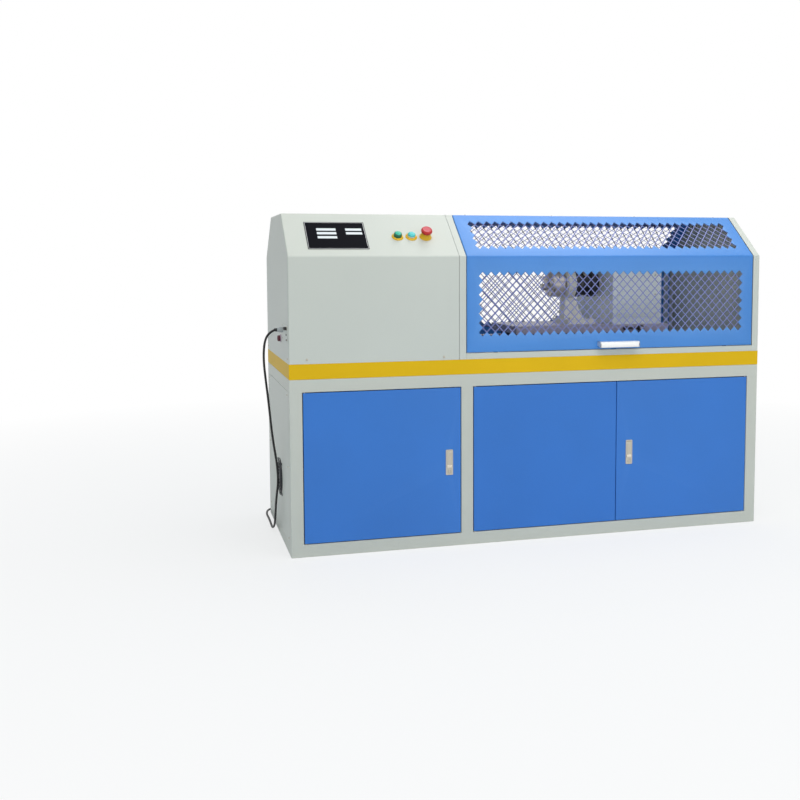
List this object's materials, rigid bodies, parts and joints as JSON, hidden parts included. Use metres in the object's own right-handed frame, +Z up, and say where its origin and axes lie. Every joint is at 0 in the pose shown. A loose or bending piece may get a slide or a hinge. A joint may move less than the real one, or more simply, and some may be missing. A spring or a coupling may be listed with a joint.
{
  "type": "torsional fatigue tester",
  "caption": "Bench-height machine that twists a specimen between two chucks, with a tube-frame cabinet, a pale drive cover and a hinged perforated blue hood.",
  "frame": {"origin": "on the floor under the middle of the cabinet, on the underside of the middle cross tube", "axes": "+X to the right along the machine, from the drive end to the tail end; +Y to the rear; +Z up"},
  "size_m": [2.122, 0.9955, 1.342],
  "materials": {
    "pale_paint": "satin powder coat",
    "blue_paint": "satin powder coat",
    "yellow_paint": "satin powder coat",
    "grey_paint": "satin",
    "machine_paint": "satin",
    "black_paint": "satin",
    "pale_steel": "rolled",
    "ground_steel": "ground",
    "dark_steel": "blackened",
    "galvanised": "zinc plated",
    "lock_metal": "satin chrome",
    "chrome_wire": "bright",
    "aluminium": "anodised",
    "black_plastic": "matte",
    "grey_plastic": "matte",
    "yellow_plastic": "gloss",
    "green_plastic": "gloss",
    "pale_plastic": "gloss",
    "red_plastic": "gloss",
    "black_rubber": "matte"
  },
  "bodies": {
    "cabinet": {"base_frame": "pale_paint", "bed_plate": "ground_steel", "button_rings": "yellow_plastic", "cabinet_panels": "pale_paint", "cable_coil": "black_rubber", "cable_plugs": "grey_plastic", "catches_and_bumpers": "black_plastic", "chamber_sills": "pale_paint", "connector_plate": "pale_paint", "control_cable": "black_rubber", "control_panel": "galvanised", "drive_base": "ground_steel", "drive_cover": "pale_paint", "fan_guard": "chrome_wire", "fan_housing": "black_plastic", "guide_rails": "ground_steel", "headstock": "machine_paint", "headstock_bearings": "ground_steel", "hinge_pins": "ground_steel", "inner_panels": "pale_paint", "portal_wall": "pale_paint", "rear_guard": "blue_paint", "rear_mesh": "blue_paint", "reducer": "aluminium", "right_end_frame": "pale_paint", "servo_drive": "black_plastic", "servo_motor": "black_paint", "table_band": "yellow_paint", "table_plate": "pale_steel", "top_panel": "pale_paint"},
    "hood": {"hood_sheet": "blue_paint", "hood_mesh": "blue_paint", "hood_handle": "aluminium"},
    "left_door": {"left_door": "blue_paint"},
    "middle_door": {"middle_door": "blue_paint"},
    "right_door": {"right_door": "blue_paint"},
    "left_lever": {"left_lock_lever": "lock_metal"},
    "right_lever": {"right_lock_lever": "lock_metal"},
    "left_push": {"left_lock_button": "lock_metal"},
    "right_push": {"right_lock_button": "lock_metal"},
    "start_push": {"start_button": "green_plastic"},
    "stop_push": {"stop_button": "pale_plastic"},
    "emergency_push": {"emergency_button": "red_plastic"},
    "spindle": {"spindle": "ground_steel", "shaft_coupling": "aluminium", "drive_chuck": "ground_steel"},
    "rotor": {"motor_shaft": "ground_steel"},
    "drive_jaw_a": {"drive_jaw_1": "ground_steel"},
    "drive_jaw_b": {"drive_jaw_2": "ground_steel"},
    "drive_jaw_c": {"drive_jaw_3": "ground_steel"},
    "tail_carriage": {"saddle": "grey_paint", "tail_stand": "machine_paint", "tail_chuck": "ground_steel", "torque_sensor": "dark_steel", "reaction_box": "machine_paint"},
    "tail_jaw_a": {"tail_jaw_1": "ground_steel"},
    "tail_jaw_b": {"tail_jaw_2": "ground_steel"},
    "tail_jaw_c": {"tail_jaw_3": "ground_steel"},
    "clamp": {"clamp_lever": "black_plastic"},
    "impeller": {"fan_impeller": "black_plastic"}
  },
  "joints": [
    {"name": "hood_hinge", "type": "hinge", "parent": "cabinet", "child": "hood", "pos_m": [0, -0.16745, 1.335], "axis": [-1, 0, 0], "range_deg": [0, 80]},
    {"name": "left_door_hinge", "type": "hinge", "parent": "cabinet", "child": "left_door", "pos_m": [-0.961, -0.369, 0], "axis": [0, 0, -1], "range_deg": [0, 100]},
    {"name": "middle_door_hinge", "type": "hinge", "parent": "cabinet", "child": "middle_door", "pos_m": [-0.271, -0.369, 0], "axis": [0, 0, -1], "range_deg": [0, 100]},
    {"name": "right_door_hinge", "type": "hinge", "parent": "cabinet", "child": "right_door", "pos_m": [0.961, -0.369, 0], "axis": [0, 0, 1], "range_deg": [0, 100]},
    {"name": "left_lever_swing", "type": "hinge", "parent": "left_door", "child": "left_lever", "pos_m": [-0.381, -0.3735, 0.3852], "axis": [-1, 0, 0], "range_deg": [0, 35], "stiffness_Nm_per_rad": 0.05},
    {"name": "right_lever_swing", "type": "hinge", "parent": "right_door", "child": "right_lever", "pos_m": [0.4095, -0.3735, 0.3852], "axis": [-1, 0, 0], "range_deg": [0, 35], "stiffness_Nm_per_rad": 0.05},
    {"name": "left_lock_press", "type": "slide", "parent": "left_door", "child": "left_push", "axis": [0, 1, 0], "range_m": [0, 0.003], "stiffness_N_per_m": 400},
    {"name": "right_lock_press", "type": "slide", "parent": "right_door", "child": "right_push", "axis": [0, 1, 0], "range_m": [0, 0.003], "stiffness_N_per_m": 400},
    {"name": "start_press", "type": "slide", "parent": "cabinet", "child": "start_push", "axis": [0, 0.6428, -0.7661], "range_m": [0, 0.004], "stiffness_N_per_m": 500},
    {"name": "stop_press", "type": "slide", "parent": "cabinet", "child": "stop_push", "axis": [0, 0.6428, -0.7661], "range_m": [0, 0.004], "stiffness_N_per_m": 500},
    {"name": "emergency_press", "type": "slide", "parent": "cabinet", "child": "emergency_push", "axis": [0, 0.6428, -0.7661], "range_m": [0, 0.004], "stiffness_N_per_m": 1500},
    {"name": "spindle_spin", "type": "hinge", "parent": "cabinet", "child": "spindle", "pos_m": [-0.45, 0, 1.048], "axis": [1, 0, 0], "continuous": true},
    {"name": "motor_spin", "type": "hinge", "parent": "cabinet", "child": "rotor", "pos_m": [-0.8, 0, 1.048], "axis": [1, 0, 0], "continuous": true},
    {"name": "drive_jaw_a_slide", "type": "slide", "parent": "spindle", "child": "drive_jaw_a", "axis": [0, 0, 1], "range_m": [-0.01, 0.008]},
    {"name": "drive_jaw_b_slide", "type": "slide", "parent": "spindle", "child": "drive_jaw_b", "axis": [0, -0.866, -0.5], "range_m": [-0.01, 0.008]},
    {"name": "drive_jaw_c_slide", "type": "slide", "parent": "spindle", "child": "drive_jaw_c", "axis": [0, 0.866, -0.5], "range_m": [-0.01, 0.008]},
    {"name": "tail_jaw_a_slide", "type": "slide", "parent": "tail_carriage", "child": "tail_jaw_a", "axis": [0, 0, 1], "range_m": [-0.01, 0.008]},
    {"name": "tail_jaw_b_slide", "type": "slide", "parent": "tail_carriage", "child": "tail_jaw_b", "axis": [0, -0.866, -0.5], "range_m": [-0.01, 0.008]},
    {"name": "tail_jaw_c_slide", "type": "slide", "parent": "tail_carriage", "child": "tail_jaw_c", "axis": [0, 0.866, -0.5], "range_m": [-0.01, 0.008]},
    {"name": "carriage_slide", "type": "slide", "parent": "cabinet", "child": "tail_carriage", "axis": [1, 0, 0], "range_m": [-0.25, 0.24]},
    {"name": "clamp_turn", "type": "hinge", "parent": "tail_carriage", "child": "clamp", "pos_m": [0.56, -0.18, 0.8535], "axis": [0, 1, 0], "range_deg": [0, 90]},
    {"name": "fan_spin", "type": "hinge", "parent": "cabinet", "child": "impeller", "pos_m": [-0.995, -0.04, 0.253], "axis": [1, 0, 0], "continuous": true}
  ],
  "couplings": [
    {"joint": "motor_spin", "follows": "spindle_spin", "ratio": 20},
    {"joint": "drive_jaw_b_slide", "follows": "drive_jaw_a_slide", "ratio": 1},
    {"joint": "drive_jaw_c_slide", "follows": "drive_jaw_a_slide", "ratio": 1},
    {"joint": "tail_jaw_b_slide", "follows": "tail_jaw_a_slide", "ratio": 1},
    {"joint": "tail_jaw_c_slide", "follows": "tail_jaw_a_slide", "ratio": 1}
  ]
}
